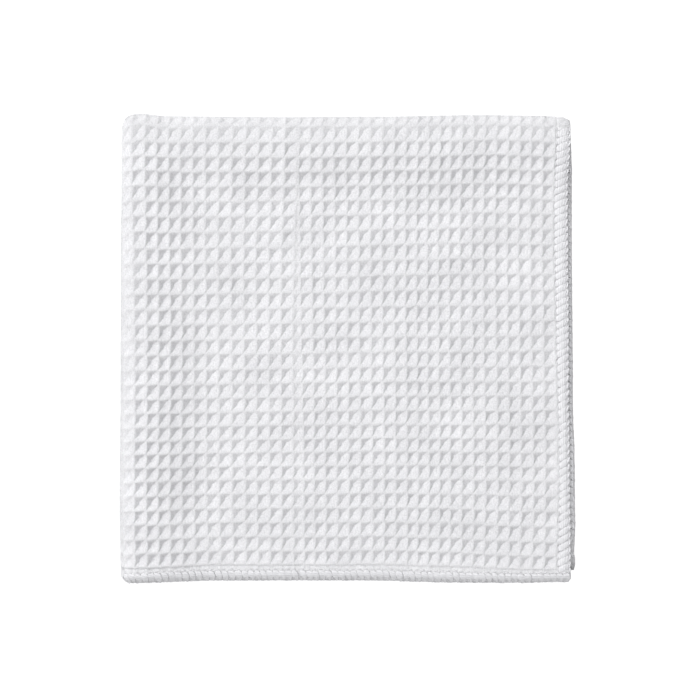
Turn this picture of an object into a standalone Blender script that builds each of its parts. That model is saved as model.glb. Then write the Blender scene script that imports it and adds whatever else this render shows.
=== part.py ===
"""A waffle-weave dish towel folded in quarters, as one closed sheet of cloth.

The cloth starts flat, as a thin slab. In it u runs across the cloth, v runs down it from the
first fold, and w goes through it, from its back to its front. The slab is then folded twice:
the first fold, at v = 0, becomes the far edge, and the second, at u = 0, the left edge.
That gives four layers a little apart. Lengths are in metres, and +Z is up.
"""

import math

import bpy
import numpy as np

# The cloth
CLOTH_THICKNESS = 0.0020
LAYER_GAP = 0.0004
FOLDED_WIDTH = 0.1498
FOLDED_LENGTH = 0.1552

# The two folds: a bend this many times as long as it is high looks soft, not pressed
FIRST_FOLD_SOFTNESS = 1.4
SECOND_FOLD_SOFTNESS = 1.2

# How the hems of the lower layers lie against the top layer's
SECOND_LAYER_SHORTER = 0.0040
THIRD_LAYER_SKEW = 0.0021
UNDER_LAYERS_NARROWER = 0.0017
UNDER_LAYERS_SHORTER = 0.0012

# Side hems of the upper two layers. Columns: share of the way from the far fold, how far it stands
# out. Only the last few millimetres of the cloth follow it.
SIDE_HEM_BLEND = 0.0080
TOP_SIDE_HEM = (
    (0.00, 0.0000),
    (0.04, 0.0001),
    (0.16, -0.0008),
    (0.28, -0.0007),
    (0.50, -0.0004),
    (0.62, -0.0003),
    (0.70, 0.0000),
    (1.00, 0.0000),
)
SECOND_SIDE_HEM = (
    (0.00, 0.0000),
    (0.04, 0.0003),
    (0.13, 0.0009),
    (0.30, 0.0009),
    (0.64, 0.0014),
    (0.75, 0.0020),
    (0.91, 0.0019),
    (0.957, 0.0011),
    (0.975, 0.0019),
    (0.99, 0.0019),
    (1.00, 0.0013),
)

# The stack stands higher beside its folds, by these shares of its height, and less further in
LEFT_PUFF_HEIGHT = 0.42
FAR_PUFF_HEIGHT = 0.32
PUFF_FULL_TO = 0.008
PUFF_GONE_AT = 0.030

# A faint trough where the cloth was once folded, from its far edge to its hem
CREASE_FROM_FOLD = 0.0593
CREASE_HALF_WIDTH = 0.0045
CREASE_DEPTH = 0.0003

# The top layer's hem on the near side curls down
HEM_CURL_WIDTH = 0.0034
HEM_DROOP = 0.0015

# The rounded corners in plan
OPEN_CORNER_RADIUS = 0.0022
HEM_CORNER_RADIUS = 0.0012

# Outline of the folded towel. Columns: share of the way along the edge, how far it stands out.
# The left and right edges are read from the far end, the far and near ones from the left.
LEFT_EDGE = (
    (0.00, -0.0005),
    (0.07, -0.0002),
    (0.27, 0.0001),
    (0.59, 0.0003),
    (0.83, 0.0006),
    (1.00, 0.0002),
)
RIGHT_EDGE = (
    (0.00, -0.0001),
    (0.35, 0.0000),
    (0.70, -0.0002),
    (0.96, 0.0002),
    (1.00, 0.0005),
)
FAR_EDGE = (
    (0.00, 0.0001),
    (0.04, 0.0010),
    (0.10, 0.0002),
    (0.33, -0.0001),
    (0.58, 0.0001),
    (0.80, 0.0006),
    (0.92, 0.0004),
    (1.00, -0.0004),
)
NEAR_EDGE = (
    (0.00, 0.0002),
    (0.10, -0.0001),
    (0.20, -0.0004),
    (0.54, -0.0005),
    (0.73, 0.0002),
    (0.88, 0.0003),
    (1.00, 0.0001),
)

# Grid lines on the flat part of a layer, closer beside the bend, the crease and the hem. Columns:
# share of the way from the bend to the hem, lines up to there
ACROSS_LINES = ((0.191, 4), (0.343, 2), (0.402, 2), (0.908, 5), (1.000, 3))
DOWN_LINES = ((0.178, 4), (0.900, 8), (0.978, 5), (1.000, 3))
BEND_LINES = 8

CLOTH_COLOUR = (0.84, 0.84, 0.86, 1.0)
CLOTH_ROUGHNESS = 0.9
SHARP_ANGLE = math.radians(50)

# Worked out from the sizes above: the bend radii at the middle of what is bent
FIRST_BEND = (CLOTH_THICKNESS + LAYER_GAP) / 2
PAIR_HALF_THICKNESS = FIRST_BEND + CLOTH_THICKNESS / 2
SECOND_BEND = PAIR_HALF_THICKNESS + LAYER_GAP / 2
STACK_HALF_THICKNESS = SECOND_BEND + PAIR_HALF_THICKNESS
FAR_BEND_REACH = FIRST_FOLD_SOFTNESS * PAIR_HALF_THICKNESS
LEFT_BEND_REACH = SECOND_FOLD_SOFTNESS * STACK_HALF_THICKNESS
FLAT_WIDTH = FOLDED_WIDTH - LEFT_BEND_REACH
FLAT_LENGTH = FOLDED_LENGTH - FAR_BEND_REACH


def clear_scene():
    """Removes what the scene holds, such as Blender's startup objects."""
    for thing in list(bpy.data.objects):
        bpy.data.objects.remove(thing, do_unlink=True)


def ease(share):
    """0 to 1 with a level start and end."""
    share = min(max(share, 0.0), 1.0)
    return share * share * (3 - 2 * share)


def stands_out(edge, share):
    """How far an edge stands out at this share of its length, eased between the table's rows."""
    share = min(max(share, 0.0), 1.0)
    for (start, at_start), (end, at_end) in zip(edge, edge[1:]):
        if share <= end:
            return at_start + (at_end - at_start) * ease((share - start) / (end - start))
    return edge[-1][1]


def lines_on_layer(table, flat_length, bend_radius):
    """Grid lines on one layer, from the edge of the bend to the hem, as distances from the fold."""
    quarter_turn = bend_radius * math.pi / 2
    lines = []
    start = 0.0
    for end, count in table:
        for step in range(count):
            share = start + (end - start) * (step + 1) / count
            lines.append(quarter_turn + flat_length * share)
        start = end
    return lines


def lines_across_fold(table, flat_length, bend_radius):
    """Grid lines over two layers and the bend between them, from one hem to the other."""
    layer = lines_on_layer(table, flat_length, bend_radius)
    half_bend = BEND_LINES // 2
    quarter_turn = bend_radius * math.pi / 2
    bend = [quarter_turn * step / half_bend for step in range(-half_bend, half_bend + 1)]
    return [-line for line in reversed(layer)] + bend + layer


def fold_over(along, height, bend_radius, softness):
    """One fold. A point this far along the flat piece, at this height over its middle, is moved to
    (distance in from the bend's start, height). Points before the fold end up underneath."""
    quarter_turn = bend_radius * math.pi / 2
    reach = bend_radius + height
    if along >= quarter_turn:
        return along - quarter_turn, reach
    if along <= -quarter_turn:
        return -along - quarter_turn, -reach
    angle = along / bend_radius
    return -softness * reach * math.cos(angle), reach * math.sin(angle)


def hem_places(u, v):
    """Moves each layer's hems to where they lie against the others."""
    half_width = FLAT_WIDTH + SECOND_BEND * math.pi / 2
    across = abs(u) / half_width
    down = abs(v) / (FLAT_LENGTH + FIRST_BEND * math.pi / 2)
    moved_u, moved_v = u, v
    if u >= 0:
        side_hem = TOP_SIDE_HEM if v >= 0 else SECOND_SIDE_HEM
        moved_u += ease(1 - (half_width - u) / SIDE_HEM_BLEND) * stands_out(side_hem, down)
    else:
        moved_u += across * UNDER_LAYERS_NARROWER
        moved_v -= math.copysign(down * UNDER_LAYERS_SHORTER, v)
    if v < 0:
        moved_v += down * SECOND_LAYER_SHORTER
        if u < 0:
            moved_u += across * THIRD_LAYER_SKEW * down
    return moved_u, moved_v


def corner_cut(first, second, radius):
    """How far a rounded corner stands back from its square one, this far in from both edges."""
    if second >= radius or first >= radius:
        return 0.0
    return (radius - math.sqrt(max(radius**2 - (radius - second) ** 2, 0.0))) * (1 - first / radius)


def uneven_outline(x, y):
    """Moves a point of the square-cornered towel to its place in the real, uneven outline."""
    across = (x + LEFT_BEND_REACH) / FOLDED_WIDTH
    down = (FAR_BEND_REACH - y) / FOLDED_LENGTH
    from_left = across * FOLDED_WIDTH
    from_right = FOLDED_WIDTH - from_left
    from_far = down * FOLDED_LENGTH
    from_near = FOLDED_LENGTH - from_far
    moved_x = x + across * stands_out(RIGHT_EDGE, down) - (1 - across) * stands_out(LEFT_EDGE, down)
    moved_y = y + (1 - down) * stands_out(FAR_EDGE, across) - down * stands_out(NEAR_EDGE, across)
    moved_y += corner_cut(max(from_near, 0.0), max(from_left, 0.0), OPEN_CORNER_RADIUS)
    moved_y += corner_cut(max(from_near, 0.0), max(from_right, 0.0), HEM_CORNER_RADIUS)
    moved_y -= corner_cut(max(from_far, 0.0), max(from_right, 0.0), HEM_CORNER_RADIUS)
    return moved_x, moved_y


def height_share(x, y):
    """The stack's height here, as a share of its plain height: more beside a fold, less in the crease."""
    fall = PUFF_GONE_AT - PUFF_FULL_TO
    by_left = LEFT_PUFF_HEIGHT * (1 - ease((x + LEFT_BEND_REACH - PUFF_FULL_TO) / fall))
    by_far = FAR_PUFF_HEIGHT * (1 - ease((FAR_BEND_REACH - y - PUFF_FULL_TO) / fall))
    in_crease = 1 - ease(abs(x + LEFT_BEND_REACH - CREASE_FROM_FOLD) / CREASE_HALF_WIDTH)
    crease = CREASE_DEPTH / (2 * STACK_HALF_THICKNESS)
    return 1 + max(by_left, by_far) - crease * in_crease


def hem_droop(u, v):
    """How far the top layer's near hem hangs down at this point of the flat cloth."""
    from_hem = FLAT_LENGTH + FIRST_BEND * math.pi / 2 - v
    curled = max(1 - from_hem / HEM_CURL_WIDTH, 0.0)
    return HEM_DROOP * curled**2 * ease(u / LEFT_BEND_REACH)


def folded(u, v, w):
    """Where a point of the flat cloth lies once the cloth is folded in quarters."""
    drawn_u, drawn_v = hem_places(u, v)
    down, pair_height = fold_over(drawn_v, w, FIRST_BEND, FIRST_FOLD_SOFTNESS)
    across, height = fold_over(drawn_u, pair_height, SECOND_BEND, SECOND_FOLD_SOFTNESS)
    x, y = uneven_outline(across, -down)
    z = (STACK_HALF_THICKNESS + height) * height_share(across, -down) - hem_droop(u, v)
    return x, y, z


def flat_slab(columns, rows):
    """A closed slab of the cloth's thickness, one square for each pair of grid lines."""
    across, down = len(columns) - 1, len(rows) - 1
    bpy.ops.mesh.primitive_grid_add(x_subdivisions=across, y_subdivisions=down, size=2.0)
    slab = bpy.context.active_object
    solidify = slab.modifiers.new("Cloth thickness", "SOLIDIFY")
    solidify.thickness = CLOTH_THICKNESS
    solidify.offset = 0.0
    bpy.ops.object.modifier_apply(modifier=solidify.name)
    return slab


def fold_slab(slab, columns, rows):
    """Moves every point of the slab to its place in the folded towel, centred over the origin."""
    places = []
    for vertex in slab.data.vertices:
        column = round((vertex.co.x + 1) / 2 * (len(columns) - 1))
        row = round((1 - vertex.co.y) / 2 * (len(rows) - 1))
        w = math.copysign(CLOTH_THICKNESS / 2, vertex.co.z)
        places.append(folded(columns[column], rows[row], w))
    places = np.array(places)
    low, high = places.min(axis=0), places.max(axis=0)
    places -= ((low[0] + high[0]) / 2, (low[1] + high[1]) / 2, low[2])
    slab.data.vertices.foreach_set("co", places.astype(np.float32).ravel())
    slab.data.update()


def cloth_material():
    """Plain white cotton."""
    material = bpy.data.materials.new("white_cotton")
    material.use_nodes = True
    shader = material.node_tree.nodes["Principled BSDF"]
    shader.inputs["Base Color"].default_value = CLOTH_COLOUR
    shader.inputs["Roughness"].default_value = CLOTH_ROUGHNESS
    shader.inputs["Metallic"].default_value = 0.0
    return material


def make_towel():
    """The whole towel, which is one piece of cloth."""
    columns = lines_across_fold(ACROSS_LINES, FLAT_WIDTH, SECOND_BEND)
    rows = lines_across_fold(DOWN_LINES, FLAT_LENGTH, FIRST_BEND)
    towel = flat_slab(columns, rows)
    fold_slab(towel, columns, rows)
    towel.name = "waffle_towel"
    towel.data.name = "waffle_towel"
    towel.data.materials.append(cloth_material())
    towel.data.shade_smooth()
    towel.data.set_sharp_from_angle(angle=SHARP_ANGLE)
    return towel


def main():
    clear_scene()
    collection = bpy.data.collections.new("Waffle towel")
    bpy.context.scene.collection.children.link(collection)
    towel = make_towel()
    for holder in list(towel.users_collection):
        holder.objects.unlink(towel)
    collection.objects.link(towel)


main()
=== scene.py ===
"""Dresses the folded waffle towel: woven cells, overlocked hems, cotton, floor, light and camera.

The cloth is one closed sheet. Its grid lines lie on the ridges and in the pits of the weave, and
the folds are those of the CAD solid. Lengths are in metres. In the cloth, u runs across from the
second fold, v runs down from the first fold, and w goes through from its middle to its front.
"""

import math

import bpy
import numpy as np
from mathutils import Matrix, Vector

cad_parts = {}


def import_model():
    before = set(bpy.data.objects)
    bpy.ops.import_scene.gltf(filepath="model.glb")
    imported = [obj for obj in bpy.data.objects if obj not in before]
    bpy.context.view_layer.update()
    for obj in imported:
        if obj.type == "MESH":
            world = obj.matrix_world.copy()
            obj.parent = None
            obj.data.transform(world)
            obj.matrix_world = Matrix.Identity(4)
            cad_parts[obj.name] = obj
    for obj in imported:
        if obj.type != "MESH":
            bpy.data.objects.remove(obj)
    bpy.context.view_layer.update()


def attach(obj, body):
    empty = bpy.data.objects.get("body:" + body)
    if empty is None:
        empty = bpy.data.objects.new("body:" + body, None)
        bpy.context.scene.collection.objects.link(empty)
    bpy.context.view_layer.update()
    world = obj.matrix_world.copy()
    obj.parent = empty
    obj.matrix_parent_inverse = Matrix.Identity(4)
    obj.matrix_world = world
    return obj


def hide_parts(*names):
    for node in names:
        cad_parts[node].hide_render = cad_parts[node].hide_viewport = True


MM = 0.001
SEED = 11

# The cloth and how it is folded, as in the CAD
CLOTH_THICKNESS = 2.0 * MM
LAYER_GAP = 0.4 * MM
FOLDED_WIDTH = 149.8 * MM
FOLDED_LENGTH = 155.2 * MM
FIRST_FOLD_SOFTNESS = 1.4
SECOND_FOLD_SOFTNESS = 1.2
SECOND_LAYER_SHORTER = 4.0 * MM
THIRD_LAYER_SKEW = 2.1 * MM
UNDER_LAYERS_NARROWER = 1.7 * MM
UNDER_LAYERS_SHORTER = 1.2 * MM
LEFT_PUFF_HEIGHT = 0.42
FAR_PUFF_HEIGHT = 0.32
PUFF_FULL_TO = 8 * MM
PUFF_GONE_AT = 30 * MM
CREASE_FROM_FOLD = 59.3 * MM
CREASE_HALF_WIDTH = 4.5 * MM
CREASE_DEPTH = 0.3 * MM
OPEN_CORNER_RADIUS = 2.2 * MM
HEM_CORNER_RADIUS = 1.2 * MM

# Side hems of the upper two layers, and the outline of the folded towel. Columns: share of the
# way along the edge, how far it stands out in mm. The far and near edges are read from the left,
# the others from the far end.
SIDE_HEM_BLEND = 8.0 * MM
TOP_SIDE_HEM = (
    (0.00, 0.0), (0.04, 0.1), (0.16, -0.8), (0.28, -0.7),
    (0.50, -0.4), (0.62, -0.3), (0.70, 0.0), (1.00, 0.0),
)
SECOND_SIDE_HEM = (
    (0.00, 0.0), (0.04, 0.3), (0.13, 0.9), (0.30, 0.9), (0.64, 1.4),
    (0.75, 2.0), (0.91, 1.9), (0.957, 1.1), (0.975, 1.9), (0.99, 1.9), (1.00, 1.3),
)
LEFT_EDGE = ((0.00, -0.5), (0.07, -0.2), (0.27, 0.1), (0.59, 0.3), (0.83, 0.6), (1.00, 0.2))
RIGHT_EDGE = ((0.00, -0.1), (0.35, 0.0), (0.70, -0.2), (0.96, 0.2), (1.00, 0.5))
FAR_EDGE = (
    (0.00, 0.1), (0.04, 1.0), (0.10, 0.2), (0.33, -0.1),
    (0.58, 0.1), (0.80, 0.6), (0.92, 0.4), (1.00, 0.0),
)
NEAR_EDGE = (
    (0.00, 0.2), (0.10, -0.1), (0.20, -0.4), (0.54, -0.5), (0.73, 0.2), (0.88, 0.3), (1.00, 0.1),
)

# Cells of the top layer. Columns: how many, how wide or long each is
TOP_COLUMNS = (
    (2, 4.07), (1, 3.97), (3, 3.80), (2, 4.01), (1, 4.10), (1, 4.20), (2, 4.11), (1, 4.29),
    (2, 4.06), (1, 2.73), (2, 3.82), (1, 3.86), (4, 3.90), (2, 3.86), (2, 3.60), (1, 3.68),
    (1, 3.59), (1, 3.73), (2, 3.88), (1, 4.05), (4, 3.95),
)
TOP_ROWS = (
    (2, 5.16), (1, 4.99), (3, 4.78), (1, 4.97), (1, 5.03), (5, 5.14), (2, 5.08), (3, 4.95),
    (3, 4.78), (1, 4.64), (1, 4.43), (2, 4.58), (1, 4.78), (3, 4.82), (2, 4.70),
)
FIRST_COLUMN_AT = 0.1 * MM
FIRST_ROW_AT = 0.1 * MM
UNDER_COLUMN = 3.95 * MM
UNDER_ROW = 4.95 * MM
RIGHT_HEM = 4.9 * MM
NEAR_HEM = 5.4 * MM

# How far the top layer's cells wander, in mm. The first row gives shares of the way across, and the
# first column shares of the way down.
COLUMN_WANDER = (
    (0.00, 0.036, 0.07, 0.194, 0.278, 0.385, 0.403, 0.428, 0.62, 0.725, 0.967),
    (0.07, -1.30, -1.00, -0.35, 0.68, 1.42, -0.90, -0.85, 0.07, 0.67, -0.20),
    (0.13, -1.06, -0.75, -0.31, 0.46, 1.15, -1.02, -0.71, 0.05, 0.47, -0.28),
    (0.165, -0.92, -0.61, -0.29, 0.34, 1.03, -0.80, -0.60, 0.04, 0.35, -0.32),
    (0.27, -0.50, -0.17, -0.23, -0.04, 0.45, -0.40, -0.26, 0.00, 0.00, -0.45),
    (0.46, 0.00, 0.33, 0.20, 0.33, 0.13, 0.00, 0.17, 0.17, 0.17, 0.10),
    (0.66, 0.18, 0.35, 0.34, 0.72, 0.32, 0.96, 0.74, 0.76, 0.75, 0.90),
    (0.80, 0.30, 0.26, 0.65, 1.03, 0.48, 1.30, 0.82, 0.93, 0.78, 0.95),
    (0.94, 0.30, 0.33, 0.87, 1.04, 0.36, 1.13, 0.82, 0.55, 0.15, 0.17),
)
ROW_WANDER = (
    (0.00, 0.066, 0.246, 0.487, 0.607, 0.727, 0.845, 0.967),
    (0.02, -0.42, 0.17, 0.00, 0.22, -0.02, 0.20, -0.13),
    (0.12, -0.25, 0.10, 0.00, 0.37, 0.40, 0.60, 0.15),
    (0.28, -1.33, -0.45, 0.00, 0.60, 0.85, 0.90, 0.40),
    (0.41, -1.00, -0.35, 0.00, 0.50, 0.70, 0.80, 1.00),
    (0.54, -1.05, -0.55, 0.00, 0.38, 0.35, 0.45, 1.05),
    (0.78, -0.35, 0.00, 0.10, 0.42, 0.60, 0.30, -0.10),
    (0.93, -0.20, 0.30, 0.10, 0.50, 0.35, -0.55, -1.30),
)

# How soon the cells wander, measured from the left fold, the side hem, the far fold and the near hem
WANDER_PAST_LEFT_FOLD = 6.0 * MM
WANDER_PAST_SIDE_HEM = 4.0 * MM
WANDER_STARTS_DOWN = 1.0 * MM
WANDER_PAST_FAR_FOLD = 5.0 * MM
WANDER_PAST_NEAR_HEM = 8.0 * MM

# The weave. Columns: place in the cell, share of the pit's depth reached there
PIT_DEPTH = 1.20 * MM
FINE_ACROSS = ((0.00, 0.00), (0.05, 0.10), (0.12, 0.24), (0.50, 1.00), (0.83, 0.24), (0.93, 0.10))
FINE_DOWN = (
    (0.00, 0.00), (0.05, 0.10), (0.12, 0.24), (0.43, 1.00), (0.57, 1.00), (0.83, 0.24), (0.93, 0.10),
)
PLAIN_LINES = ((0.00, 0.00), (0.50, 1.00))
RIDGE_LINES = ((0.00, 0.00),)
# The fine lines go on this far beyond the left fold, underneath
FINE_UNDER_FOLD = 8.0 * MM
RIDGE_ROUNDING = 0.12
PLACE_JITTER = 0.10 * MM
PIT_JITTER = 0.14 * MM
PIT_SHIFT = (-0.40 * MM, -0.36 * MM)
DEPTH_JITTER = 0.12
RIDGE_BULGE = 0.30 * MM
RIDGE_LEAN = 0.20 * MM
RIDGE_RISE = 0.18 * MM
# The part of a cell in which a ridge's lean turns over
RIDGE_TURN = 0.08
# Where the pits are shallow. Columns: distance from a fold in mm, or share of the way down the
# crease, then share of the depth
DEPTH_BY_LEFT_FOLD = ((0.0, 0.34), (3.0, 0.38), (7.0, 0.50), (11.0, 0.82), (15.0, 1.00))
# Further down the left fold, the pits reach their full depth sooner. Columns: share down, how much
DEEPER_DOWN_LEFT = ((0.00, 1.00), (0.55, 1.00), (0.85, 1.50), (1.00, 1.60))
DEPTH_BY_FAR_FOLD = ((0.0, 0.48), (3.0, 0.48), (8.0, 0.52), (13.0, 0.78), (20.0, 1.00))
DEPTH_IN_CREASE = ((0.00, 0.00), (0.14, 0.03), (0.24, 0.20), (0.45, 0.45), (1.00, 0.80))
# The front of a hem. Columns: distance in from the cloth's edge, height, and how much lower it is
# between the ridges that run into it, all in mm
SIDE_HEM_FRONT = (
    (4.60, 0.90, 0.25), (4.20, 0.84, 0.12), (2.00, 0.86, 0.00), (0.60, 0.42, 0.00), (0.00, 0.10, 0.00),
)
NEAR_HEM_FRONT = (
    (5.05, 0.84, 0.20), (4.70, 0.84, 0.50), (4.30, 0.96, 0.00), (3.80, 0.82, 0.00), (3.50, 0.86, 0.00),
    (2.00, 0.86, 0.00), (0.90, 0.46, 0.00), (0.30, -0.20, 0.00),
)
DIP_WIDENING = 3.0
HEM_BACK = 0.72 * MM
# Grid lines of the cloth's back round a bend and along a layer, and where in the hem the last one is
BACK_BEND_LINES = 17
BACK_LAYER_LINES = 20
BACK_HEM_SHARE = 0.9
HEM_DROOP = 1.5 * MM
HEM_CURL_WIDTH = 3.4 * MM

# Worked out from the sizes above, as in the CAD
FIRST_BEND = (CLOTH_THICKNESS + LAYER_GAP) / 2
PAIR_HALF_THICKNESS = FIRST_BEND + CLOTH_THICKNESS / 2
SECOND_BEND = PAIR_HALF_THICKNESS + LAYER_GAP / 2
STACK_HALF_THICKNESS = SECOND_BEND + PAIR_HALF_THICKNESS
FAR_BEND_REACH = FIRST_FOLD_SOFTNESS * PAIR_HALF_THICKNESS
LEFT_BEND_REACH = SECOND_FOLD_SOFTNESS * STACK_HALF_THICKNESS
FLAT_WIDTH = FOLDED_WIDTH - LEFT_BEND_REACH
FLAT_LENGTH = FOLDED_LENGTH - FAR_BEND_REACH
# The cloth that goes round a quarter turn of each bend, at the rate at which it leaves the bend
FIRST_QUARTER = FAR_BEND_REACH * math.pi / 2
SECOND_QUARTER = LEFT_BEND_REACH * math.pi / 2
HALF_WIDTH = FLAT_WIDTH + SECOND_QUARTER
HALF_LENGTH = FLAT_LENGTH + FIRST_QUARTER

# The overlock stitches. Columns: place along the hem in stitches, distance in from the edge in mm,
# height over the cloth's middle, half the thread's width, and half its height
SIDE_UPPER_STRAND = (
    (0.00, 4.40, 0.68, 0.34, 0.14), (0.12, 3.90, 0.78, 1.00, 0.22), (0.38, 3.00, 0.76, 1.20, 0.28),
    (0.60, 2.00, 0.70, 1.22, 0.28), (0.76, 1.10, 0.46, 1.18, 0.28), (0.84, 0.45, 0.12, 1.10, 0.26),
    (0.84, 0.20, -0.25, 1.10, 0.20), (0.70, 0.70, -0.70, 1.10, 0.18),
)
SIDE_LOWER_STRAND = (
    (0.70, 0.50, -0.62, 1.10, 0.16), (0.42, 2.30, -0.80, 1.20, 0.16), (0.02, 4.10, -0.60, 0.30, 0.12),
)
SIDE_NEEDLE_STITCH = (
    (-0.42, 4.40, 0.66, 0.10, 0.08), (-0.24, 4.40, 0.84, 0.20, 0.12), (0.00, 4.40, 0.90, 0.24, 0.14),
    (0.24, 4.40, 0.84, 0.20, 0.12), (0.42, 4.40, 0.66, 0.10, 0.08),
)
SIDE_EDGE_BEAD = (
    (-0.42, 0.50, 0.30, 0.14, 0.12), (-0.24, 0.34, 0.62, 0.26, 0.20), (0.02, 0.16, 0.70, 0.30, 0.24),
    (0.28, 0.08, 0.50, 0.26, 0.20), (0.44, 0.06, 0.20, 0.14, 0.12),
)
NEAR_UPPER_STRAND = (
    (0.00, 3.60, 0.76, 0.40, 0.12), (0.06, 3.20, 0.82, 0.90, 0.14), (0.20, 2.50, 0.82, 1.24, 0.14),
    (0.36, 1.60, 0.70, 1.22, 0.16), (0.48, 0.95, 0.42, 0.80, 0.22), (0.52, 0.35, 0.02, 0.48, 0.32),
    (0.48, 0.10, -0.40, 0.46, 0.22), (0.40, 0.70, -0.70, 0.40, 0.20),
)
NEAR_LOWER_STRAND = (
    (0.40, 0.50, -0.62, 0.40, 0.18), (0.24, 2.20, -0.82, 0.44, 0.18), (0.02, 3.70, -0.60, 0.14, 0.12),
)
NEAR_NEEDLE_STITCH = (
    (-0.36, 3.75, 0.72, 0.20, 0.08), (-0.20, 3.75, 0.90, 0.32, 0.14), (0.00, 3.75, 0.94, 0.36, 0.16),
    (0.20, 3.75, 0.90, 0.32, 0.14), (0.36, 3.75, 0.72, 0.20, 0.08),
)
NEAR_EDGE_BEAD = (
    (-0.42, 0.40, -0.55, 0.14, 0.12), (-0.22, 0.16, -0.40, 0.22, 0.18), (0.02, 0.06, -0.35, 0.24, 0.20),
    (0.26, 0.16, -0.45, 0.22, 0.18), (0.44, 0.40, -0.60, 0.14, 0.12),
)
# Threads of each kind of hem, and which of them run along it
SIDE_THREADS = (
    (SIDE_UPPER_STRAND, False),
    (SIDE_LOWER_STRAND, False),
    (SIDE_NEEDLE_STITCH, True),
    (SIDE_EDGE_BEAD, True),
)
NEAR_THREADS = (
    (NEAR_UPPER_STRAND, False),
    (NEAR_LOWER_STRAND, False),
    (NEAR_NEEDLE_STITCH, True),
    (NEAR_EDGE_BEAD, True),
)
THREAD_STEPS = 15
THREAD_SIDES = 8
THREAD_SIZE_JITTER = 0.09
# A thread's height varies by this share of how uneven its places are
HEIGHT_UNEVENNESS = 0.5
# How far in from the edge the directions across and along a hem are read
ACROSS_READ_AT = 4.0 * MM
ALONG_READ_AT = 1.0 * MM
# The hems are flatter beside the folds. Columns: distance from the fold in mm, share of the relief
RELIEF_BY_FOLD = ((0.0, 0.30), (6.0, 0.30), (11.0, 1.00))
# No stitches show on the bends themselves, this far to each side
BARE_ROUND_FOLD = 3.6 * MM
FILAMENTS = 5
THREAD_TWIST = 0.9 * MM
# Columns: name, cut edge, length along it, distance between stitches, how uneven they are, the first
# and the last one's places from the corners in stitches, threads
HEMS = (
    ("open_side_hem_thread", ("u", 1), HALF_LENGTH, 2.4 * MM, 0.04 * MM, (2, 3), SIDE_THREADS),
    ("under_side_hem_thread", ("u", -1), HALF_LENGTH, 2.4 * MM, 0.04 * MM, (2, 2), SIDE_THREADS),
    ("near_hem_thread", ("v", 1), HALF_WIDTH, 2.15 * MM, 0.06 * MM, (1, 1), NEAR_THREADS),
    ("under_near_hem_thread", ("v", -1), HALF_WIDTH, 2.15 * MM, 0.10 * MM, (3, 1), NEAR_THREADS),
)

# Looks. The weights say how much each kind of spot adds to the cloth's shade, and the ramps say
# between which shades the colour goes from dark to light.
YARN_PITCH = 0.42 * MM
YARN_WOBBLE = 2.2
YARN_BUMP_SHARE = 0.35
CLOTH_BUMP = 0.28 * MM
GRAIN_SIZE = (0.55 * MM, 1.5 * MM)
SPECK_SIZE = 0.50 * MM
MOTTLE_SIZE = 16 * MM
MOTTLE_WEIGHT = 0.25
GRAIN_WEIGHT = 0.35
SPECK_WEIGHT = 0.40
CLOTH_RAMP = (0.36, 0.64)
THREAD_BUMP = 0.06 * MM
THREAD_MOTTLE_SCALE = 900.0
THREAD_RAMP = (0.3, 0.7)
CLOTH_COLOUR = (0.78, 0.78, 0.80, 1.0)
CLOTH_DARK = (0.66, 0.66, 0.68, 1.0)
CLOTH_LIGHT = (0.90, 0.90, 0.92, 1.0)
THREAD_COLOUR = (0.68, 0.68, 0.70, 1.0)
THREAD_DARK = (0.60, 0.60, 0.62, 1.0)
# A grey board that glows, so that it shows as white as the photo's ground and keeps no hard shadow
FLOOR_COLOUR = (0.15, 0.15, 0.15, 1.0)
FLOOR_GLOW_COLOUR = (1.0, 1.0, 1.0, 1.0)
FLOOR_GLOW = 0.95
FLOOR_SIZE = 6.0
FLOOR_GAP = 0.1 * MM
LIGHT_COLOUR = (1.0, 1.0, 1.0)
WORLD_COLOUR = (1.0, 1.0, 1.0, 1.0)
WORLD_STRENGTH = 0.395
# Columns: azimuth and elevation in degrees, distance, size, power in watts
KEY_LIGHT = (45.0, 50.0, 1.2, 1.4, 17.8)
TOP_LIGHT = (0.0, 90.0, 1.5, 2.0, 11.0)

# The photo's frame, seen straight from above
FRAME_PIXELS = 700
METRES_PER_PIXEL = MM / 3
TOWEL_CENTRE_PIXEL = (347.5, 348.6)
SENSOR_WIDTH = 36.0
LENS = 120.0
# The height at which a photo pixel is a third of a millimetre: the towel's top
TOP_HEIGHT = 9.2 * MM
EDGE_POINTS = 200


def towel_centre():
    """The point under the middle of the folded towel, which the CAD has at its origin."""
    edge = np.linspace(0.0, 1.0, EDGE_POINTS)
    u = HALF_WIDTH * edge
    v = HALF_LENGTH * edge
    half = CLOTH_THICKNESS / 2
    right = folded(np.full_like(v, HALF_WIDTH), v, half)[:, 0].max()
    lower_right = folded(np.full_like(v, HALF_WIDTH), -v, half)[:, 0].max()
    left = folded(np.zeros_like(v), v, half)[:, 0].min()
    far = folded(u, np.zeros_like(u), half)[:, 1].max()
    near = folded(u, np.full_like(u, HALF_LENGTH), half)[:, 1].min()
    return np.array([(max(right, lower_right) + left) / 2, (far + near) / 2, 0.0])


def ease(share):
    """0 to 1 with a level start and end."""
    share = np.clip(share, 0.0, 1.0)
    return share * share * (3 - 2 * share)


def share_at(table, places):
    """Reads a table of places and shares, between its rows too."""
    table = np.array(table)
    return np.interp(places, table[:, 0], table[:, 1])


def stands_out(edge, share):
    """How far an edge stands out at these shares of its length, eased between the table's rows."""
    table = np.array(edge)
    share = np.clip(share, 0.0, 1.0)
    row = np.clip(np.searchsorted(table[:, 0], share, side="right") - 1, 0, len(table) - 2)
    start, end = table[row, 0], table[row + 1, 0]
    low, high = table[row, 1], table[row + 1, 1]
    return (low + (high - low) * ease((share - start) / (end - start))) * MM


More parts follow.
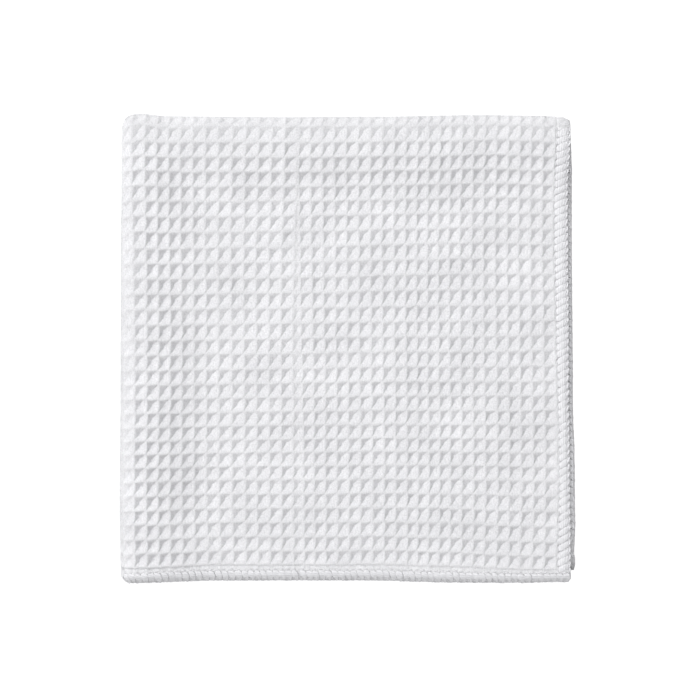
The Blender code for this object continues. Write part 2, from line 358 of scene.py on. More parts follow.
def table_value(table, across, down):
    """A value between the rows and columns of a wander table."""
    grid = np.array(table)
    shares = grid[0, 1:]
    by_row = np.array([np.interp(across, shares, row[1:]) for row in grid[1:]])
    downs = grid[1:, 0]
    row = np.clip(np.searchsorted(downs, down, side="right") - 1, 0, len(downs) - 2)
    part = np.clip((down - downs[row]) / (downs[row + 1] - downs[row]), 0.0, 1.0)
    place = np.arange(by_row.shape[1])
    return (by_row[row, place] * (1 - part) + by_row[row + 1, place] * part) * MM


def fold_over(along, height, radius, quarter, softness):
    """One fold, as in the CAD: the distance in from the bend's start, and the height."""
    reach = radius + height
    angle = np.clip(along / quarter, -1.0, 1.0) * math.pi / 2
    beyond = np.maximum(np.abs(along) - quarter, 0.0)
    return beyond - softness * reach * np.cos(angle), reach * np.sin(angle)


def hem_places(u, v):
    """Moves each layer's hems to where they lie against the others, as in the CAD."""
    across = np.abs(u) / HALF_WIDTH
    down = np.abs(v) / HALF_LENGTH
    upper, far_half = u >= 0, v < 0
    at_side_hem = ease(1 - (HALF_WIDTH - u) / SIDE_HEM_BLEND)
    side_hem = np.where(far_half, stands_out(SECOND_SIDE_HEM, down), stands_out(TOP_SIDE_HEM, down))
    drawn_in = across * (UNDER_LAYERS_NARROWER + np.where(far_half, THIRD_LAYER_SKEW * down, 0.0))
    moved_u = u + np.where(upper, at_side_hem * side_hem, drawn_in)
    moved_v = v + np.where(far_half, down * SECOND_LAYER_SHORTER, 0.0)
    moved_v = moved_v - np.where(upper, 0.0, np.sign(v) * down * UNDER_LAYERS_SHORTER)
    return moved_u, moved_v


def corner_cut(first, second, radius):
    """How far a rounded corner stands back from its square one, this far in from both edges."""
    first, second = np.maximum(first, 0.0), np.maximum(second, 0.0)
    back = radius - np.sqrt(np.maximum(radius**2 - np.maximum(radius - second, 0.0) ** 2, 0.0))
    return back * np.clip(1 - first / radius, 0.0, 1.0)


def uneven_outline(x, y):
    """Moves points of the square-cornered towel to their places in the uneven outline."""
    across = (x + LEFT_BEND_REACH) / FOLDED_WIDTH
    down = (FAR_BEND_REACH - y) / FOLDED_LENGTH
    from_left = across * FOLDED_WIDTH
    from_right = FOLDED_WIDTH - from_left
    from_far = down * FOLDED_LENGTH
    from_near = FOLDED_LENGTH - from_far
    moved_x = x + across * stands_out(RIGHT_EDGE, down) - (1 - across) * stands_out(LEFT_EDGE, down)
    moved_y = y + (1 - down) * stands_out(FAR_EDGE, across) - down * stands_out(NEAR_EDGE, across)
    moved_y = moved_y + corner_cut(from_near, from_left, OPEN_CORNER_RADIUS)
    moved_y = moved_y + corner_cut(from_near, from_right, HEM_CORNER_RADIUS)
    moved_y = moved_y - corner_cut(from_far, from_right, HEM_CORNER_RADIUS)
    return moved_x, moved_y


def height_share(x, y):
    """The stack's height as a share of its plain height: more beside a fold, less in the crease."""
    fall = PUFF_GONE_AT - PUFF_FULL_TO
    by_left = LEFT_PUFF_HEIGHT * (1 - ease((x + LEFT_BEND_REACH - PUFF_FULL_TO) / fall))
    by_far = FAR_PUFF_HEIGHT * (1 - ease((FAR_BEND_REACH - y - PUFF_FULL_TO) / fall))
    in_crease = 1 - ease(np.abs(x + LEFT_BEND_REACH - CREASE_FROM_FOLD) / CREASE_HALF_WIDTH)
    return 1 + np.maximum(by_left, by_far) - CREASE_DEPTH / (2 * STACK_HALF_THICKNESS) * in_crease


def wander(u, v, x, y):
    """How far the top layer's cells lie from an even grid. On the layer's edges they don't move."""
    across = (x + LEFT_BEND_REACH) / FOLDED_WIDTH
    down = (FAR_BEND_REACH - y) / FOLDED_LENGTH
    free_x = ease(u / WANDER_PAST_LEFT_FOLD) * ease((HALF_WIDTH - u) / WANDER_PAST_SIDE_HEM)
    free_x = free_x * ease(1 + v / FIRST_QUARTER)
    free_y = ease((v - WANDER_STARTS_DOWN) / WANDER_PAST_FAR_FOLD)
    free_y = free_y * ease((HALF_LENGTH - v) / WANDER_PAST_NEAR_HEM) * ease(1 + u / SECOND_QUARTER)
    off_x = table_value(COLUMN_WANDER, across, down) * free_x
    off_y = table_value(ROW_WANDER, across, down) * free_y
    return off_x, off_y


def evenly_folded(u, v, w):
    """Where points of the flat cloth lie in a towel with even cells and straight edges."""
    inner_u, inner_v = hem_places(u, v)
    down, pair_height = fold_over(inner_v, w, FIRST_BEND, FIRST_QUARTER, FIRST_FOLD_SOFTNESS)
    across, height = fold_over(inner_u, pair_height, SECOND_BEND, SECOND_QUARTER, SECOND_FOLD_SOFTNESS)
    return across, -down, height


def yarn_places(u, v, w):
    """Places in the cloth for its yarns, which stay as fine in a narrow cell as in a wide one."""
    x, y, _ = evenly_folded(u, v, w)
    off_x, off_y = wander(u, v, x, y)
    return np.stack([u + off_x, v - off_y], axis=-1)


def folded(u, v, w):
    """Where points of the flat cloth lie in the folded towel, before it is centred."""
    u, v, w = np.broadcast_arrays(u, v, w)
    shape = u.shape
    u, v, w = u.ravel(), v.ravel(), w.ravel()
    x, y, height = evenly_folded(u, v, w)
    off_x, off_y = wander(u, v, x, y)
    x, y = x + off_x, y + off_y
    z = (STACK_HALF_THICKNESS + height) * height_share(x, y)
    past_start = np.maximum(v - HALF_LENGTH + HEM_CURL_WIDTH, 0.0) / HEM_CURL_WIDTH
    z = z - HEM_DROOP * past_start**2 * ease(u / SECOND_QUARTER)
    x, y = uneven_outline(x, y)
    return np.stack([x, y, z], axis=-1).reshape(*shape, 3)


def cell_edges(first, table):
    """Where the ridges lie, from a table of how many cells there are and their sizes."""
    places = [first]
    for count, size in table:
        for _ in range(count):
            places.append(places[-1] + size * MM)
    return places


def lattice(first, top_table, under_size, half, hem):
    """Ridge places from the under layers' hem, round the fold, to the top layer's hem."""
    top = [place for place in cell_edges(first, top_table) if place < half - hem]
    if half - hem - top[-1] < under_size / 2:
        top.pop()
    under = []
    place = first - under_size
    while place > -(half - hem):
        under.append(place)
        place -= under_size
    if under[-1] + half - hem < under_size / 2:
        under.pop()
    ridges = [-(half - hem)] + under[::-1] + top + [half - hem]
    return np.array(ridges)


def line_places(ridges, half, density, hem_front):
    """Grid lines: their places, the same in cells, shares of the depth, heights and dips in a hem."""
    rows = []
    for number, (start, end) in enumerate(zip(ridges, ridges[1:])):
        for share, level in density(end):
            rows.append((start + (end - start) * share, number + share, level, math.inf, 0.0))
    last = len(ridges) - 1
    hem = half - ridges[-1]
    rows.append((ridges[-1], float(last), 0.0, math.inf, 0.0))
    for inwards, height, dip in hem_front:
        share = 1 - inwards * MM / hem
        rows.append((half - inwards * MM, last + share, 0.0, height * MM, dip * MM))
        rows.insert(0, (inwards * MM - half, -share, 0.0, height * MM, dip * MM))
    return np.array(rows).T


def column_density(end):
    """Fine lines over the top layer and round the fold, plain ones underneath."""
    return FINE_ACROSS if end > -SECOND_QUARTER - FINE_UNDER_FOLD else PLAIN_LINES


def row_density(end):
    """Fine lines over the top and bottom layers and round the fold, and ridges alone between them."""
    return FINE_DOWN if end > -FIRST_QUARTER else RIDGE_LINES


def crease_shares(columns, rows):
    """How full the pits are at each crossing of the grid lines: less in the crease's column."""
    (place_u, cell_u), place_v = columns[:2], rows[0]
    crease_place = SECOND_QUARTER + CREASE_FROM_FOLD - LEFT_BEND_REACH
    crease_cell = math.floor(np.interp(crease_place, place_u, cell_u))
    in_crease = (np.floor(cell_u) == crease_cell)[None, :] & (place_v > 0)[:, None]
    return np.where(in_crease, share_at(DEPTH_IN_CREASE, place_v / HALF_LENGTH)[:, None], 1.0)


def value_in_cell(values, cell_u, cell_v):
    """Each grid crossing's value, from one value for each cell, with the hems as cells of their own."""
    row = np.floor(cell_v).astype(int) + 1
    column = np.floor(cell_u).astype(int) + 1
    return values[row[:, None], column[None, :]]


def depth_shares(columns, rows, last_column, last_row, random):
    """How deep the pits are at each crossing of the grid lines: hipped hollows with round rims."""
    (place_u, cell_u, level_u), (place_v, cell_v, level_v) = columns[:3], rows[:3]
    level = np.minimum(level_u[None, :], level_v[:, None])
    rim = RIDGE_ROUNDING
    depth = (np.sqrt(level**2 + rim**2) - rim) / (math.sqrt(1 + rim**2) - rim)
    sooner = share_at(DEEPER_DOWN_LEFT, place_v / HALF_LENGTH)[:, None]
    by_left = share_at(DEPTH_BY_LEFT_FOLD, np.abs(place_u) * sooner / MM)
    by_far = share_at(DEPTH_BY_FAR_FOLD, np.abs(place_v) / MM)
    depth = depth * np.minimum(by_left, by_far[:, None])
    variation = 1 + DEPTH_JITTER * random.uniform(-1, 1, (last_row + 3, last_column + 3))
    return depth * value_in_cell(variation, cell_u, cell_v)


def saw(share):
    """From -1 just after a ridge to 1 just before the next, and 0 on the ridge."""
    return np.interp(share, (0.0, RIDGE_TURN, 1 - RIDGE_TURN, 1.0), (0.0, -1.0, 1.0, 0.0))


def pit_jitter(cell_u, cell_v, last_column, last_row, random):
    """A small offset for the bottom of each pit."""
    offsets = random.normal(0.0, PIT_JITTER, (last_row + 3, last_column + 3))
    return value_in_cell(offsets, cell_u, cell_v)


def jitter(column_cells, row_cells, last_column, last_row, random):
    """A small offset for each crossing of the ridges, blended over the cells between them."""
    offsets = random.normal(0.0, PLACE_JITTER, (last_row + 1, last_column + 1))
    offsets[[0, -1], :] = 0.0
    offsets[:, [0, -1]] = 0.0
    column = np.clip(column_cells, 0, last_column)
    row = np.clip(row_cells, 0, last_row)
    left = np.minimum(column.astype(int), last_column - 1)
    above = np.minimum(row.astype(int), last_row - 1)
    part_x = (column - left)[None, :]
    part_y = (row - above)[:, None]
    near = offsets[above][:, left] * (1 - part_x) + offsets[above][:, left + 1] * part_x
    far = offsets[above + 1][:, left] * (1 - part_x) + offsets[above + 1][:, left + 1] * part_x
    return near * (1 - part_y) + far * part_y


def front_points():
    """Points of the cloth's front as a grid of u, v and w, and each line's share of the depth."""
    random = np.random.default_rng(SEED)
    column_ridges = lattice(FIRST_COLUMN_AT, TOP_COLUMNS, UNDER_COLUMN, HALF_WIDTH, RIGHT_HEM)
    row_ridges = lattice(FIRST_ROW_AT, TOP_ROWS, UNDER_ROW, HALF_LENGTH, NEAR_HEM)
    columns = line_places(column_ridges, HALF_WIDTH, column_density, SIDE_HEM_FRONT)
    rows = line_places(row_ridges, HALF_LENGTH, row_density, NEAR_HEM_FRONT)
    place_u, cell_u, level_u, hem_u, dip_u = columns
    place_v, cell_v, level_v, hem_v, dip_v = rows
    last = len(column_ridges) - 1, len(row_ridges) - 1
    fullness = crease_shares(columns, rows)
    depth = depth_shares(columns, rows, *last, random) * fullness
    across, down = (cell_u % 1)[None, :], (cell_v % 1)[:, None]
    woven_u = ((cell_u > 0) & (cell_u < last[0]))[None, :]
    woven_v = ((cell_v > 0) & (cell_v < last[1]))[:, None]
    woven = woven_u & woven_v
    bulge = RIDGE_BULGE * np.sin(math.pi * down) ** 2 - RIDGE_LEAN * saw(down)
    bulge = bulge * (1 - level_u[None, :] * fullness)
    rise = -RIDGE_RISE * saw(across) * (1 - level_v[:, None])
    deep = np.minimum(level_u[None, :], level_v[:, None]) * fullness
    u = place_u[None, :] + bulge * woven + jitter(cell_u, cell_v, *last, random)
    v = place_v[:, None] + rise * woven + jitter(cell_u, cell_v, *last, random)
    u = u + (PIT_SHIFT[0] + pit_jitter(cell_u, cell_v, *last, random)) * deep
    v = v + (PIT_SHIFT[1] + pit_jitter(cell_u, cell_v, *last, random)) * deep
    w = CLOTH_THICKNESS / 2 - PIT_DEPTH * np.where(woven, depth, 0.0)
    side_hem = hem_u[None, :] - dip_u[None, :] * level_v[:, None]
    near_hem = hem_v[:, None] - dip_v[:, None] * np.minimum(DIP_WIDENING * level_u, 1.0)[None, :]
    w = np.minimum(w, np.minimum(side_hem, near_hem))
    return u, v, w, level_u, level_v


def back_lines(quarter, half, hem):
    """A coarse set of grid lines for the cloth's back, which shows only at the hems."""
    bend = quarter * np.linspace(-1, 1, BACK_BEND_LINES)
    flat = np.linspace(quarter, half - hem, BACK_LAYER_LINES)[1:]
    edge = np.array([half - hem * BACK_HEM_SHARE, half])
    layer = np.concatenate([flat, edge])
    return np.concatenate([-layer[::-1], bend, layer])


def grid_faces(rows, columns, start):
    """Four-sided faces of a grid whose points are numbered row by row from start."""
    number = start + np.arange(rows * columns).reshape(rows, columns)
    corners = [number[:-1, :-1], number[:-1, 1:], number[1:, 1:], number[1:, :-1]]
    return np.stack(corners, axis=-1).reshape(-1, 4)


def split_on_creases(faces, columns, level_u, level_v):
    """Cuts the faces that a pit's corner creases cross along them, so that its walls stay flat."""
    row, column = np.divmod(faces[:, 0], columns)
    here_u, next_u = level_u[column], level_u[column + 1]
    here_v, next_v = level_v[row], level_v[row + 1]
    sloping = (here_u != next_u) & (here_v != next_v)
    falling = sloping & (here_u == here_v) & (next_u == next_v)
    rising = sloping & (here_u == next_v) & (next_u == here_v)
    whole = faces[~(falling | rising)]
    a, b, c, d = faces[falling].T
    first = np.concatenate([np.stack([a, b, c], 1), np.stack([a, c, d], 1)])
    a, b, c, d = faces[rising].T
    second = np.concatenate([np.stack([a, b, d], 1), np.stack([b, c, d], 1)])
    return whole, np.concatenate([first, second])


def sharpen_creases(mesh, columns, count, level_u, level_v):
    """Marks sharp, in each pit, the line that parts its lit walls from its dark ones."""
    ends = np.empty(2 * len(mesh.edges), np.int32)
    mesh.edges.foreach_get("vertices", ends)
    row, column = np.divmod(ends.reshape(-1, 2), columns)
    on_front = (ends.reshape(-1, 2) < count).all(axis=1)
    corner = (row[:, 0] - row[:, 1]) * (column[:, 0] - column[:, 1]) < 0
    inner_row, inner_column = row % len(level_v), column % len(level_u)
    bottom = ((level_v[inner_row] == 1) & (level_u[inner_column] == 1)).all(axis=1)
    crease = on_front & (corner | bottom)
    sharp = mesh.attributes.new("sharp_edge", "BOOLEAN", "EDGE")
    sharp.data.foreach_set("value", crease)


def zip_rims(front, front_at, back, back_at):
    """Triangles between two rims with different numbers of points, by their places along the rim."""
    triangles = []
    i = j = 0
    while i < len(front) - 1 or j < len(back) - 1:
        front_next = front_at[i + 1] if i < len(front) - 1 else math.inf
        back_next = back_at[j + 1] if j < len(back) - 1 else math.inf
        if front_next <= back_next:
            triangles.append((front[i + 1], front[i], back[j]))
            i += 1
        else:
            triangles.append((front[i], back[j], back[j + 1]))
            j += 1
    return triangles


def rim_faces(front_ids, back_ids, front_lines, back_lines_used):
    """The cut edge of the cloth, all the way round."""
    (front_columns, front_rows), (back_columns, back_rows) = front_lines, back_lines_used
    sides = (
        (front_ids[0, ::-1], -front_columns[::-1], back_ids[0, ::-1], -back_columns[::-1]),
        (front_ids[-1, :], front_columns, back_ids[-1, :], back_columns),
        (front_ids[:, 0], front_rows, back_ids[:, 0], back_rows),
        (front_ids[::-1, -1], -front_rows[::-1], back_ids[::-1, -1], -back_rows[::-1]),
    )
    triangles = []
    for side in sides:
        triangles += zip_rims(*side)
    return np.array(triangles)


def make_mesh(name, points, face_groups):
    """A mesh object from points and groups of faces with three or four corners."""
    mesh = bpy.data.meshes.new(name)
    corner_counts = np.concatenate([np.full(len(group), group.shape[1]) for group in face_groups])
    corners = np.concatenate([group.ravel() for group in face_groups])
    mesh.vertices.add(len(points))
    mesh.vertices.foreach_set("co", points.astype(np.float32).ravel())
    mesh.loops.add(len(corners))
    mesh.loops.foreach_set("vertex_index", corners.astype(np.int32))
    mesh.polygons.add(len(corner_counts))
    starts = np.concatenate([[0], np.cumsum(corner_counts)[:-1]])
    mesh.polygons.foreach_set("loop_start", starts.astype(np.int32))
    mesh.update(calc_edges=True)
    mesh.validate()
    mesh.shade_smooth()
    made = bpy.data.objects.new(name, mesh)
    bpy.context.scene.collection.objects.link(made)
    return made


def cloth_uv(mesh, uv):
    """Keeps each point's place in the flat cloth, or round and along its thread, for the yarns."""
    layer = mesh.uv_layers.new(name="cloth")
    corners = np.empty(len(mesh.loops), np.int32)
    mesh.loops.foreach_get("vertex_index", corners)
    layer.data.foreach_set("uv", uv[corners].astype(np.float32).ravel())


def make_cloth(centre):
    """The woven cloth, front, back and cut edge, as one closed mesh."""
    u, v, w, level_u, level_v = front_points()
    rows, columns = u.shape
    front = folded(u.ravel(), v.ravel(), w.ravel())
    back_u = back_lines(SECOND_QUARTER, HALF_WIDTH, RIGHT_HEM)
    back_v = back_lines(FIRST_QUARTER, HALF_LENGTH, NEAR_HEM)
    flat_u, flat_v = (grid.ravel() for grid in np.meshgrid(back_u, back_v))
    on_hem = (np.abs(flat_u) > HALF_WIDTH - RIGHT_HEM) | (np.abs(flat_v) > HALF_LENGTH - NEAR_HEM)
    back_w = np.where(on_hem, -HEM_BACK, -CLOTH_THICKNESS / 2)
    back = folded(flat_u, flat_v, back_w)
    whole, halves = split_on_creases(grid_faces(rows, columns, 0), columns, level_u, level_v)
    back_quads = grid_faces(len(back_v), len(back_u), len(front))
    front_ids = np.arange(rows * columns).reshape(rows, columns)
    back_ids = len(front) + np.arange(len(back)).reshape(len(back_v), len(back_u))
    rim = rim_faces(front_ids, back_ids, (u[0], v[:, 0]), (back_u, back_v))
    points = np.concatenate([front, back]) - centre
    cloth = make_mesh("towel_cloth", points, [whole[:, ::-1], halves[:, ::-1], back_quads, rim])
    sharpen_creases(cloth.data, columns, len(front), level_u, level_v)
    flat_front = yarn_places(u.ravel(), v.ravel(), w.ravel())
    flat_back = np.stack([flat_u, flat_v], axis=-1)
    cloth_uv(cloth.data, np.concatenate([flat_front, flat_back]))
    return cloth


def smooth_curve(points, count):
    """A smooth curve through the rows of a table, read at this many even steps."""
    points = np.array(points)
    padded = np.concatenate([2 * points[:1] - points[1:2], points, 2 * points[-1:] - points[-2:-1]])
    place = np.linspace(0, len(points) - 1, count)
    start = np.minimum(place.astype(int), len(points) - 2)
    t = (place - start)[:, None]
    before, here, after, last = (padded[start + step] for step in range(4))
    linear = (after - before) * t
    square = (2 * before - 5 * here + 4 * after - last) * t**2
    cube = (3 * here - before - 3 * after + last) * t**3
    return here + 0.5 * (linear + square + cube)


def hem_point(side, along, inwards, height):
    """A place on a hem of the flat cloth. Going along leads to the left of someone facing outwards."""
    axis, sign = side
    if axis == "u":
        return sign * (HALF_WIDTH - inwards), -sign * along, height
    return sign * along, sign * (HALF_LENGTH - inwards), height


def thread_points(table, side, starts, pitch, unevenness, random):
    """Middles, half widths and half heights of one thread in each stitch, step by step."""
    curve = smooth_curve(table, THREAD_STEPS)
    size = 1 + THREAD_SIZE_JITTER * random.uniform(-1, 1, len(starts))[:, None]
    shift = random.normal(0.0, unevenness, (3, len(starts), 1))
    relief = share_at(RELIEF_BY_FOLD, np.abs(starts) / MM)[:, None]
    along = starts[:, None] + shift[0] + pitch * curve[None, :, 0]
    inwards = shift[1] + curve[None, :, 1] * MM
    height = np.broadcast_to(curve[None, :, 2] * MM, along.shape) + shift[2] * HEIGHT_UNEVENNESS
    middle = folded(*hem_point(side, along, inwards, height))
    half_width = curve[None, :, 3] * MM * size
    half_height = curve[None, :, 4] * MM * relief
    return middle, half_width, half_height


def unit(vectors):
    """The same directions, each of length 1."""
    return vectors / np.maximum(np.linalg.norm(vectors, axis=-1, keepdims=True), 1e-12)


def tubes(middle, half_width, half_height, across):
    """Points, sides, end caps and thread places of closed oval tubes along these middles."""
    count, steps, _ = middle.shape
    tangent = unit(np.gradient(middle, axis=1))
    up = unit(np.cross(tangent, across))
    wide = np.cross(up, tangent)
    angles = np.arange(THREAD_SIDES) * 2 * math.pi / THREAD_SIDES
    ring = (wide[:, :, None] * (np.cos(angles)[:, None] * half_width[:, :, None, None])
            + up[:, :, None] * (np.sin(angles)[:, None] * half_height[:, :, None, None]))
    points = (middle[:, :, None] + ring).reshape(-1, 3)
    number = np.arange(count * steps * THREAD_SIDES).reshape(count, steps, THREAD_SIDES)
    turned = np.roll(number, -1, axis=2)
    quads = np.stack([number[:, :-1], turned[:, :-1], turned[:, 1:], number[:, 1:]], axis=-1)
    length = np.linalg.norm(np.diff(middle, axis=1), axis=-1).cumsum(axis=1)
    length = np.concatenate([np.zeros((count, 1)), length], axis=1)
    places = np.stack(np.broadcast_arrays(angles / (2 * math.pi), length[:, :, None]), axis=-1)
    caps = np.stack([number[:, 0, ::-1], number[:, -1]], axis=1).reshape(-1, THREAD_SIDES)
    return points, quads.reshape(-1, 4), caps, places.reshape(-1, 2)


def make_hem_threads(name, side, half_length, stitch, unevenness, ends, threads, centre, random):
    """The overlock stitches of one edge of the cloth, on both layers that it runs over."""
    stitches = round(2 * half_length / stitch)
    pitch = 2 * half_length / stitches
    starts = np.arange(ends[0], stitches - ends[1] + 1) * pitch - half_length
    starts = starts[np.abs(starts) > BARE_ROUND_FOLD]
    edge = folded(*hem_point(side, starts, 0.0, 0.0))
    outwards = edge - folded(*hem_point(side, starts, ACROSS_READ_AT, 0.0))
    here = folded(*hem_point(side, starts, ALONG_READ_AT, 0.0))
    onwards = folded(*hem_point(side, starts + pitch, ALONG_READ_AT, 0.0)) - here
    points, quads, caps, places = [], [], [], []
    total = 0
    for table, runs_along in threads:
        middle, half_width, half_height = thread_points(table, side, starts, pitch, unevenness, random)
        across = np.broadcast_to((outwards if runs_along else onwards)[:, None], middle.shape)
        part_points, part_quads, part_caps, part_places = tubes(middle, half_width, half_height, across)
        points.append(part_points)
        quads.append(part_quads + total)
        caps.append(part_caps + total)
        places.append(part_places)
        total += len(part_points)
    points = np.concatenate(points) - centre
    points[:, 2] = np.maximum(points[:, 2], 0.0)
    made = make_mesh(name, points, [np.concatenate(quads), np.concatenate(caps)])
    cloth_uv(made.data, np.concatenate(places))
    return made


def new_material(name, colour, roughness):
    """A material with a plain shader, its node tree and the shader."""
    material = bpy.data.materials.new(name)
    material.use_nodes = True
    tree = material.node_tree
    shader = tree.nodes["Principled BSDF"]
    shader.inputs["Base Color"].default_value = colour
    shader.inputs["Roughness"].default_value = roughness
    return material, tree, shader


def add_node(tree, kind, settings=(), **values):
    """A new node with its settings and the values of its sockets."""
    node = tree.nodes.new(kind)
    for name, value in settings:
        setattr(node, name, value)
    for name, value in values.items():
        node.inputs[name.replace("_", " ")].default_value = value
    return node


def math_node(tree, operation, *inputs):
    """A math node fed by sockets or numbers."""
    node = tree.nodes.new("ShaderNodeMath")
    node.operation = operation
    for number, value in enumerate(inputs):
        if isinstance(value, (int, float)):
            node.inputs[number].default_value = value
        else:
            tree.links.new(value, node.inputs[number])
    return node.outputs[0]


def ramp_colour(tree, shade, positions, dark, light):
    """Colours a shade between a dark and a light tone."""
    ramp = tree.nodes.new("ShaderNodeValToRGB")
    for element, position, tone in zip(ramp.color_ramp.elements, positions, (dark, light)):
        element.position = position
        element.color = tone
    tree.links.new(shade, ramp.inputs["Fac"])
    return ramp.outputs["Color"]


def cloth_material():
    """White cotton: fine crossing yarns in the cloth's own directions, slubs and faint mottling."""
    material, tree, shader = new_material("white_cotton_waffle", CLOTH_COLOUR, roughness=0.92)
    shader.inputs["Sheen Weight"].default_value = 0.15
    shader.inputs["Sheen Roughness"].default_value = 0.6
    shader.inputs["Specular IOR Level"].default_value = 0.15
    place = add_node(tree, "ShaderNodeUVMap", (("uv_map", "cloth"),))
    axes = tree.nodes.new("ShaderNodeSeparateXYZ")
    tree.links.new(place.outputs["UV"], axes.inputs[0])
    long_grain = add_node(tree, "ShaderNodeMapping", Scale=(1 / GRAIN_SIZE[0], 1 / GRAIN_SIZE[1], 1.0))
    tree.links.new(place.outputs["UV"], long_grain.inputs["Vector"])
    grain = add_node(tree, "ShaderNodeTexNoise", Scale=1.0, Detail=2.0, Roughness=0.6)
    tree.links.new(long_grain.outputs["Vector"], grain.inputs["Vector"])
    wobble = math_node(tree, "MULTIPLY", grain.outputs["Fac"], YARN_WOBBLE)
    yarns = []
    for axis in ("X", "Y"):
        turns = math_node(tree, "MULTIPLY", axes.outputs[axis], 2 * math.pi / YARN_PITCH)
        yarns.append(math_node(tree, "SINE", math_node(tree, "ADD", turns, wobble)))
    weave = math_node(tree, "MULTIPLY", *yarns)
    weave = math_node(tree, "MULTIPLY", weave, YARN_BUMP_SHARE)
    height = math_node(tree, "ADD", weave, grain.outputs["Fac"])
    bump = add_node(tree, "ShaderNodeBump", Strength=1.0, Distance=CLOTH_BUMP)
    tree.links.new(height, bump.inputs["Height"])
    tree.links.new(bump.outputs["Normal"], shader.inputs["Normal"])
    mottle = add_node(tree, "ShaderNodeTexNoise", Scale=1 / MOTTLE_SIZE, Detail=3.0, Roughness=0.6)
    tree.links.new(place.outputs["UV"], mottle.inputs["Vector"])
    specks = add_node(tree, "ShaderNodeTexNoise", Scale=1 / SPECK_SIZE, Detail=1.0)
    tree.links.new(place.outputs["UV"], specks.inputs["Vector"])
    shade = math_node(tree, "MULTIPLY", mottle.outputs["Fac"], MOTTLE_WEIGHT)
    for spots, weight in ((grain, GRAIN_WEIGHT), (specks, SPECK_WEIGHT)):
        shade = math_node(tree, "ADD", shade, math_node(tree, "MULTIPLY", spots.outputs["Fac"], weight))
    colour = ramp_colour(tree, shade, CLOTH_RAMP, CLOTH_DARK, CLOTH_LIGHT)
    tree.links.new(colour, shader.inputs["Base Color"])
    return material


def thread_material():
    """White sewing thread: fine filaments that twist round each thread."""
    material, tree, shader = new_material("white_overlock_thread", THREAD_COLOUR, roughness=0.75)
    shader.inputs["Sheen Weight"].default_value = 0.2
    shader.inputs["Specular IOR Level"].default_value = 0.25
    place = add_node(tree, "ShaderNodeUVMap", (("uv_map", "cloth"),))
    axes = tree.nodes.new("ShaderNodeSeparateXYZ")
    tree.links.new(place.outputs["UV"], axes.inputs[0])
    round_thread = math_node(tree, "MULTIPLY", axes.outputs["X"], FILAMENTS * 2 * math.pi)
    along_thread = math_node(tree, "MULTIPLY", axes.outputs["Y"], 2 * math.pi / THREAD_TWIST)
    ribs = math_node(tree, "SINE", math_node(tree, "ADD", round_thread, along_thread))
    bump = add_node(tree, "ShaderNodeBump", Strength=0.6, Distance=THREAD_BUMP)
    tree.links.new(ribs, bump.inputs["Height"])
    tree.links.new(bump.outputs["Normal"], shader.inputs["Normal"])
    where = tree.nodes.new("ShaderNodeTexCoord")
    mottle = add_node(tree, "ShaderNodeTexNoise", Scale=THREAD_MOTTLE_SCALE, Detail=2.0)
    tree.links.new(where.outputs["Object"], mottle.inputs["Vector"])
    colour = ramp_colour(tree, mottle.outputs["Fac"], THREAD_RAMP, THREAD_DARK, THREAD_COLOUR)
    tree.links.new(colour, shader.inputs["Base Color"])
    return material


def floor_material():
    """Matt board that shows as plain white."""
    material, tree, shader = new_material("pale_floor", FLOOR_COLOUR, roughness=0.9)
    shader.inputs["Specular IOR Level"].default_value = 0.1
    shader.inputs["Emission Color"].default_value = FLOOR_GLOW_COLOUR
    shader.inputs["Emission Strength"].default_value = FLOOR_GLOW
    return material


def make_floor():
    """A wide plain floor that the towel lies on."""
    half = FLOOR_SIZE / 2
    corners = np.array([(-half, -half, 0), (half, -half, 0), (half, half, 0), (-half, half, 0)])
    corners[:, 2] = -FLOOR_GAP
    floor = make_mesh("floor", corners, [np.array([[0, 1, 2, 3]])])
    floor.data.materials.append(floor_material())


def aim(thing, target):
    """Turns a light or camera towards a point."""
    away = thing.location - Vector(target)
    thing.rotation_euler = away.to_track_quat("Z", "Y").to_euler()


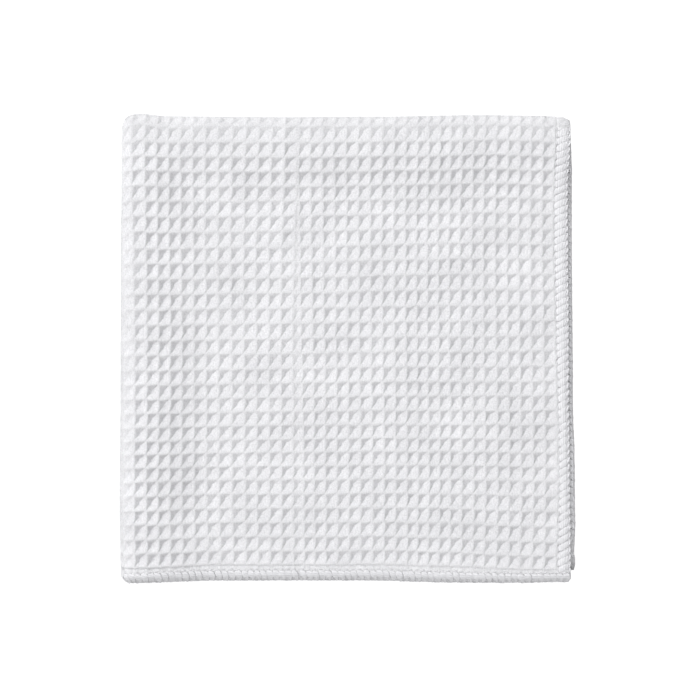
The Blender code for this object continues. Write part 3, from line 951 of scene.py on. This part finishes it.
def add_light(name, azimuth, elevation, distance, size, power):
    """A soft box. Azimuth 0 is on the far side, and it turns towards the left."""
    data = bpy.data.lights.new(name, "AREA")
    data.shape = "SQUARE"
    data.size = size
    data.energy = power
    data.color = LIGHT_COLOUR
    light = bpy.data.objects.new(name, data)
    bpy.context.scene.collection.objects.link(light)
    flat = math.cos(math.radians(elevation)) * distance
    height = math.sin(math.radians(elevation)) * distance
    turn = math.radians(azimuth)
    light.location = (-flat * math.sin(turn), flat * math.cos(turn), height)
    aim(light, (0.0, 0.0, 0.0))


def make_light():
    """A large soft box from the far left, one overhead, and pale light from all round."""
    add_light("key_softbox", *KEY_LIGHT)
    add_light("top_softbox", *TOP_LIGHT)
    world = bpy.data.worlds.new("pale_studio")
    world.use_nodes = True
    background = world.node_tree.nodes["Background"]
    background.inputs["Color"].default_value = WORLD_COLOUR
    background.inputs["Strength"].default_value = WORLD_STRENGTH
    bpy.context.scene.world = world
    bpy.context.scene.view_settings.view_transform = "Standard"


def make_camera(top):
    """Looks straight down. The frame's width is measured at the towel's top."""
    data = bpy.data.cameras.new("camera")
    data.sensor_width = SENSOR_WIDTH
    data.lens = LENS
    camera = bpy.data.objects.new("camera", data)
    bpy.context.scene.collection.objects.link(camera)
    frame_width = FRAME_PIXELS * METRES_PER_PIXEL
    x = (FRAME_PIXELS / 2 - TOWEL_CENTRE_PIXEL[0]) * METRES_PER_PIXEL
    y = (TOWEL_CENTRE_PIXEL[1] - FRAME_PIXELS / 2) * METRES_PER_PIXEL
    camera.location = (x, y, top + frame_width * LENS / SENSOR_WIDTH)
    bpy.context.scene.camera = camera


def main():
    """Loads the part, adds the studio, the cloth and its threads."""
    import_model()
    make_camera(TOP_HEIGHT)
    make_light()
    make_floor()
    centre = towel_centre()
    cloth = make_cloth(centre)
    cloth.data.materials.append(cloth_material())
    random = np.random.default_rng(SEED + 1)
    thread = thread_material()
    threads = []
    for hem_row in HEMS:
        hem = make_hem_threads(*hem_row, centre, random)
        hem.data.materials.append(thread)
        threads.append(hem)
    for piece in [cloth] + threads:
        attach(piece, "root")
    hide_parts("waffle_towel")


main()
